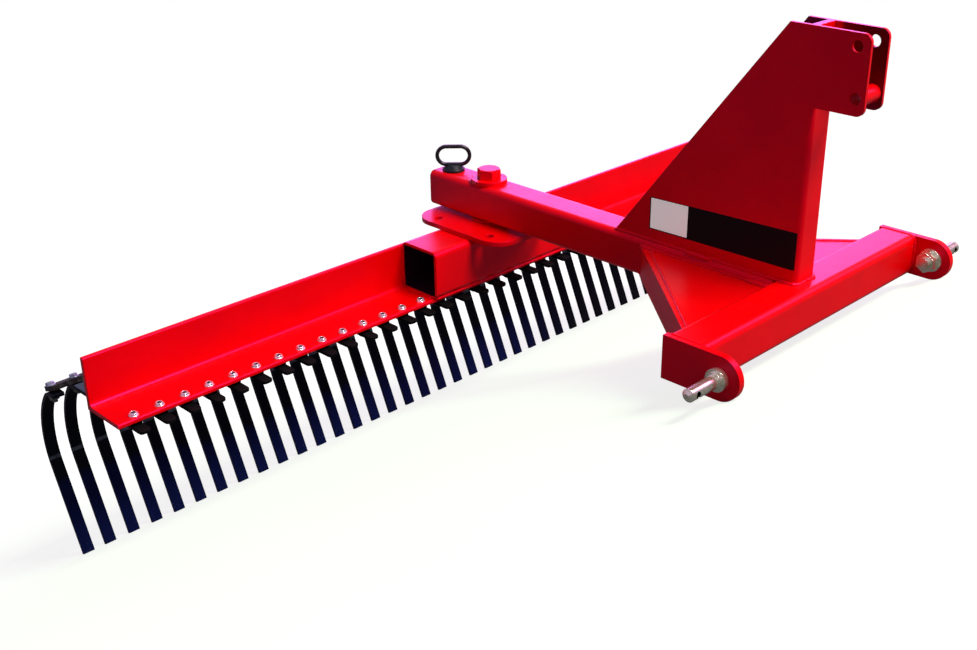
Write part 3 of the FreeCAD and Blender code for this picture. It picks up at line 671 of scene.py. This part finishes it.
def tie_bolts():
    """A bolt square through the tie bar and each tine's crown, with washer and long nut.

    The bolts' direction is the one in which the bar's section is thinnest.
    """
    section = np.unique(levelled("tie_bar")[:, 1:].round(5), axis=0)
    centre = section.mean(axis=0)
    reach = section - centre
    thinnest = np.linalg.svd(reach)[2][1]
    forward = thinnest if thinnest[1] > 0 else -thinnest
    half = np.abs(reach @ forward).max()
    axis = np.array([0.0, *forward])
    heads, nuts = [], []
    for i, x in enumerate(sorted(bank_x + end_x)):
        spin = (1.0, 0.3 * math.sin(i * 1.7), 0.0)
        middle = np.array([x, *centre])
        heads.append(turned(TIE_HEAD, middle + axis * half, axis, spin))
        nuts.append(turned(TIE_NUT, middle - axis * (half + TINE_THICK), -axis, spin))
    piece("tie_bolt_heads", heads, HEAD_BODY, SILVER)
    piece("tie_bolt_nuts", nuts, HEAD_BODY, NUT_GREEN)


# --- welds and films ----------------------------------------------------------------------


# Beads are placed in millimetres: each run is a list of (x, y, z) corners of a bead's middle,
# written from the edges of the nodes that it joins.
Edges = namedtuple("Edges", "left rear low right front top")


def edges_of(node):
    """A node's level box in millimetres."""
    low, high = level_box(node)
    return Edges(*(low / MM), *(high / MM))


def both_sides(runs):
    """The runs and their mirror images across X = 0."""
    return [run for given in runs
            for run in (given, [(-x, y, z) for x, y, z in given])]


def weld(name, runs, body, radius, seed, pitch=7.5):
    """Painted weld beads along runs; radius and pitch are in millimetres too."""
    parts = [bead(np.array(run, float) * MM, radius * MM, seed + i, pitch * MM)
             for i, run in enumerate(runs)]
    piece(name, parts, body, ENAMEL)


def frame_welds():
    """Beads of the hitch frame: mast foot, gussets, braces and ears."""
    tube, mast, cross = edges_of("boom_tube"), edges_of("mast"), edges_of("cross_tube")
    gusset, brace = edges_of("gusset_plate_right"), edges_of("brace_bar_right")
    side, cheek, front = tube.right, mast.right, mast_foot_front() / MM

    above = tube.top + 0.4
    seam = [(cheek + 0.3, mast.rear - 1.0, above), (cheek + 0.3, front - 12.0, above)]
    stitch = [(cheek + 3.6, 537.0, above - 0.2), (cheek + 3.6, 593.0, above - 0.2)]
    toe = [(cheek + 1.5, front - 30.0, above), (cheek + 1.5, front - 6.0, above),
           (cheek - 5.0, front + 1.0, above), (0.0, front + 1.2, above)]
    weld("mast_foot_seam", both_sides([seam]), FRAME_BODY, radius=3.2, seed=11)
    weld("mast_foot_stitches", both_sides([stitch, toe]), FRAME_BODY, radius=4.4, seed=21,
         pitch=10.0)

    above = gusset.top + 0.4
    joint = cross.rear - 0.6
    slant = [(gusset.left + 1.0, gusset.rear + 10.0, gusset.top - 0.2),
             (gusset.right - 6.0, cross.rear - 7.0, gusset.top - 0.2)]
    inside = [(side + 0.4, gusset.rear + 24.0, above), (side + 0.4, cross.rear - 2.0, above)]
    across = [(side + 0.6, joint, above + 0.4), (gusset.right - 4.0, joint, above)]
    lumps = [[(side + 1.6, 438.0, above), (side + 2.0, 482.0, above)],
             [(side + 1.6, 676.0, above + 1.0), (side + 1.6, 723.0, above + 1.0)]]
    weld("gusset_edge", both_sides([slant]), FRAME_BODY, radius=2.6, seed=61)
    weld("gusset_seam", both_sides([inside, across]), FRAME_BODY, radius=2.8, seed=31)
    weld("gusset_stitches", both_sides(lumps), FRAME_BODY, radius=5.0, seed=41, pitch=10.0)

    foot = brace.low + 3.0
    at_tube = [(side + 1.0, brace.rear + 1.5, foot), (side + 1.0, brace.rear + 1.5, brace.top)]
    at_cross = [(brace.right - 0.5, cross.rear - 0.8, foot + 4.0),
                (brace.right - 0.5, cross.rear - 0.8, brace.top)]
    weld("brace_weld", both_sides([at_tube, at_cross]), FRAME_BODY, radius=3.0, seed=51)

    crest, inner = cross.right + 0.3, cross.right - 1.4
    around = [(crest, cross.rear + 5.0, cross.top - 1.6),
              (crest, cross.front - 12.0, cross.top - 1.6),
              (inner, cross.front - 4.0, cross.top - 3.5),
              (inner, cross.front + 0.3, cross.top - 12.0),
              (inner, cross.front + 0.3, cross.low + 12.0)]
    weld("ear_weld", both_sides([around]), FRAME_BODY, radius=3.4, seed=71)


def head_welds():
    """Beads of the rake head: socket tube on the angle, index plate on the socket tube."""
    socket, angle, plate_edges = (edges_of(node) for node in
                                  ("socket_tube", "head_angle", "index_plate"))
    floor, half = FLANGE_THICK / MM, socket.right - 4.0
    toe = [(x, angle.front + 1.5, floor - 1.0) for x in (-half, half)]
    crest = [(x, socket.rear + 2.0, angle.top + 1.0) for x in (-half, half)]
    weld("socket_weld", [toe, crest], HEAD_BODY, radius=3.6, seed=91, pitch=9.0)
    ends = [[(socket.right + 1.0, -34.0, floor + 1.0), (socket.right + 1.0, 36.0, floor + 1.0)],
            [(socket.right + 0.8, socket.rear + 1.6, floor + 14.0),
             (socket.right + 0.8, socket.rear + 1.6, angle.top - 4.0)]]
    weld("socket_end_weld", both_sides(ends), HEAD_BODY, radius=3.4, seed=101)
    under, half = plate_edges.low - 2.2, plate_edges.right - 10.0
    seams = [[(-half, y, under), (half, y, under)]
             for y in (socket.rear + 2.2, socket.front - 2.2)]
    weld("plate_weld", seams, HEAD_BODY, radius=3.4, seed=121)


# Corners of the panels on a cheek, as level (y, z) in millimetres.
BLACK_PANEL = [(450.0, 222.0), (762.0, 226.0), (762.0, 294.0), (450.0, 283.5)]
WHITE_SQUARE = [(452.5, 223.8), (536.0, 225.6), (536.0, 285.4), (452.5, 282.2)]


def panels():
    """A blank black panel with a white square at its rear end, low on each cheek.

    Each is a flat film; on the left cheek it is raised the other way, which is outwards there.
    """
    cheek = edges_of("mast").right * MM
    for hand, side in ((1, "right"), (-1, "left")):
        for name, corners, finish, proud in (("black_panel", BLACK_PANEL, FILM_BLACK, 0.25),
                                             ("white_square", WHITE_SQUARE, FILM_WHITE, 0.40)):
            outline = rounded(np.array(corners) * MM, 1.5 * MM, steps=4)
            levels = [(0.0, 0.0), (proud * MM * hand, 0.0)]
            skin = plate(outline, levels, (hand * cheek, 0, 0), (0, 1, 0), (0, 0, 1))
            piece(f"{name}_{side}", [skin], FRAME_BODY, finish, smooth=False)


flange_bolts()
tine_noses()
tie_bolts()
frame_welds()
head_welds()
panels()


# --- camera, light and ground -------------------------------------------------------------

# Where the viewer stands in the level machine's frame, and which way they look, in degrees.
EYE = np.array([71.1, 72.0, 42.41]) * INCH
EYE_AZIMUTH, EYE_ELEVATION, EYE_ROLL = 44.53, 25.22, -0.70
LENS, SENSOR = 47.38, 36.0


def look():
    """The camera's right, up and forward directions in the level frame."""
    azimuth, elevation, roll = (math.radians(part) for part in
                                (EYE_AZIMUTH, EYE_ELEVATION, EYE_ROLL))
    ahead = -np.array([math.sin(azimuth) * math.cos(elevation),
                       math.cos(azimuth) * math.cos(elevation), math.sin(elevation)])
    right = np.array([-math.cos(azimuth), math.sin(azimuth), 0.0])
    above = np.cross(right, ahead)
    return (math.cos(roll) * right + math.sin(roll) * above,
            -math.sin(roll) * right + math.cos(roll) * above, ahead)


def add_camera():
    """The viewer's camera, with its own right, up and back as the columns of its turn."""
    right, above, ahead = look()
    turn = (np.stack([right, above, -ahead], 0) @ LEVEL).T
    place = Matrix(turn.tolist()).to_4x4()
    place.translation = tipped(EYE)
    lens = bpy.data.cameras.new("viewer")
    lens.lens, lens.sensor_width, lens.sensor_fit = LENS, SENSOR, "HORIZONTAL"
    lens.clip_start, lens.clip_end = 0.05, 200.0
    camera = bpy.data.objects.new("viewer", lens)
    camera.matrix_world = place
    bpy.context.scene.collection.objects.link(camera)
    bpy.context.scene.camera = camera


def add_lamp(name, offset, size, power, colour, roll=0.0):
    """A soft box at an offset from the object's middle, which it faces.

    Size is its width and height in metres, and roll turns it about its own line of light.
    """
    data = bpy.data.lights.new(name, "AREA")
    data.shape, data.energy, data.color = "RECTANGLE", power, colour
    data.size, data.size_y = size
    ahead = -np.array(offset) / np.linalg.norm(offset)
    right = np.cross(ahead, [0.0, 0.0, 1.0])
    right /= np.linalg.norm(right)
    above = np.cross(right, ahead)
    tilt = math.radians(roll)
    right, above = (math.cos(tilt) * right + math.sin(tilt) * above,
                    math.cos(tilt) * above - math.sin(tilt) * right)
    turn = np.stack([right, above, -ahead], 1)
    lamp = bpy.data.objects.new(name, data)
    lamp.matrix_world = Matrix(turn.tolist()).to_4x4()
    lamp.location = np.mean(cad_box, axis=0) + offset
    bpy.context.scene.collection.objects.link(lamp)


def add_ground():
    """A floor far wider than the object, flat at the height it stands on."""
    reach = 60.0
    mesh = bpy.data.meshes.new("floor")
    mesh.from_pydata([(-reach, -reach, 0.0), (reach, -reach, 0.0), (reach, reach, 0.0),
                      (-reach, reach, 0.0)], [], [(0, 1, 2, 3)])
    mesh.materials.append(studio_floor())
    ground = bpy.data.objects.new("floor", mesh)
    bpy.context.scene.collection.objects.link(ground)


def add_sky():
    """White for the camera, pink in reflections, and a dim fill as a source of light."""
    world = bpy.data.worlds.new("studio")
    world.use_nodes = True
    made = NodeTree(world.node_tree, "ShaderNodeOutputWorld")

    def light(colour, strength):
        return made.node("ShaderNodeBackground", None,
                         {"Color": rgba(*colour), "Strength": strength})

    unseen = made.node("ShaderNodeMixShader", None, {
        0: made.ray("Glossy"), 1: light((0.93, 0.93, 1.0), 0.16),
        2: light((0.94, 0.64, 0.96), 0.5)})
    made.close(made.node("ShaderNodeMixShader", None, {
        0: made.ray("Camera").larger(made.ray("Transmission")), 1: unseen,
        2: light((1.0, 1.0, 1.0), 1.0)}))
    bpy.context.scene.world = world


add_camera()
add_ground()
add_sky()
add_lamp("key", (-0.65, 4.1, 3.0), (2.0, 2.2), 350.0, (1.0, 0.96, 0.92))
add_lamp("sky", (-3.55, -2.55, 2.35), (4.6, 2.0), 180.0, (0.78, 0.22, 1.0), roll=-12.0)
add_lamp("rim", (-3.0, 3.1, 1.75), (2.2, 1.7), 60.0, (1.0, 0.22, 0.62))
bpy.context.scene.view_settings.view_transform = "Standard"
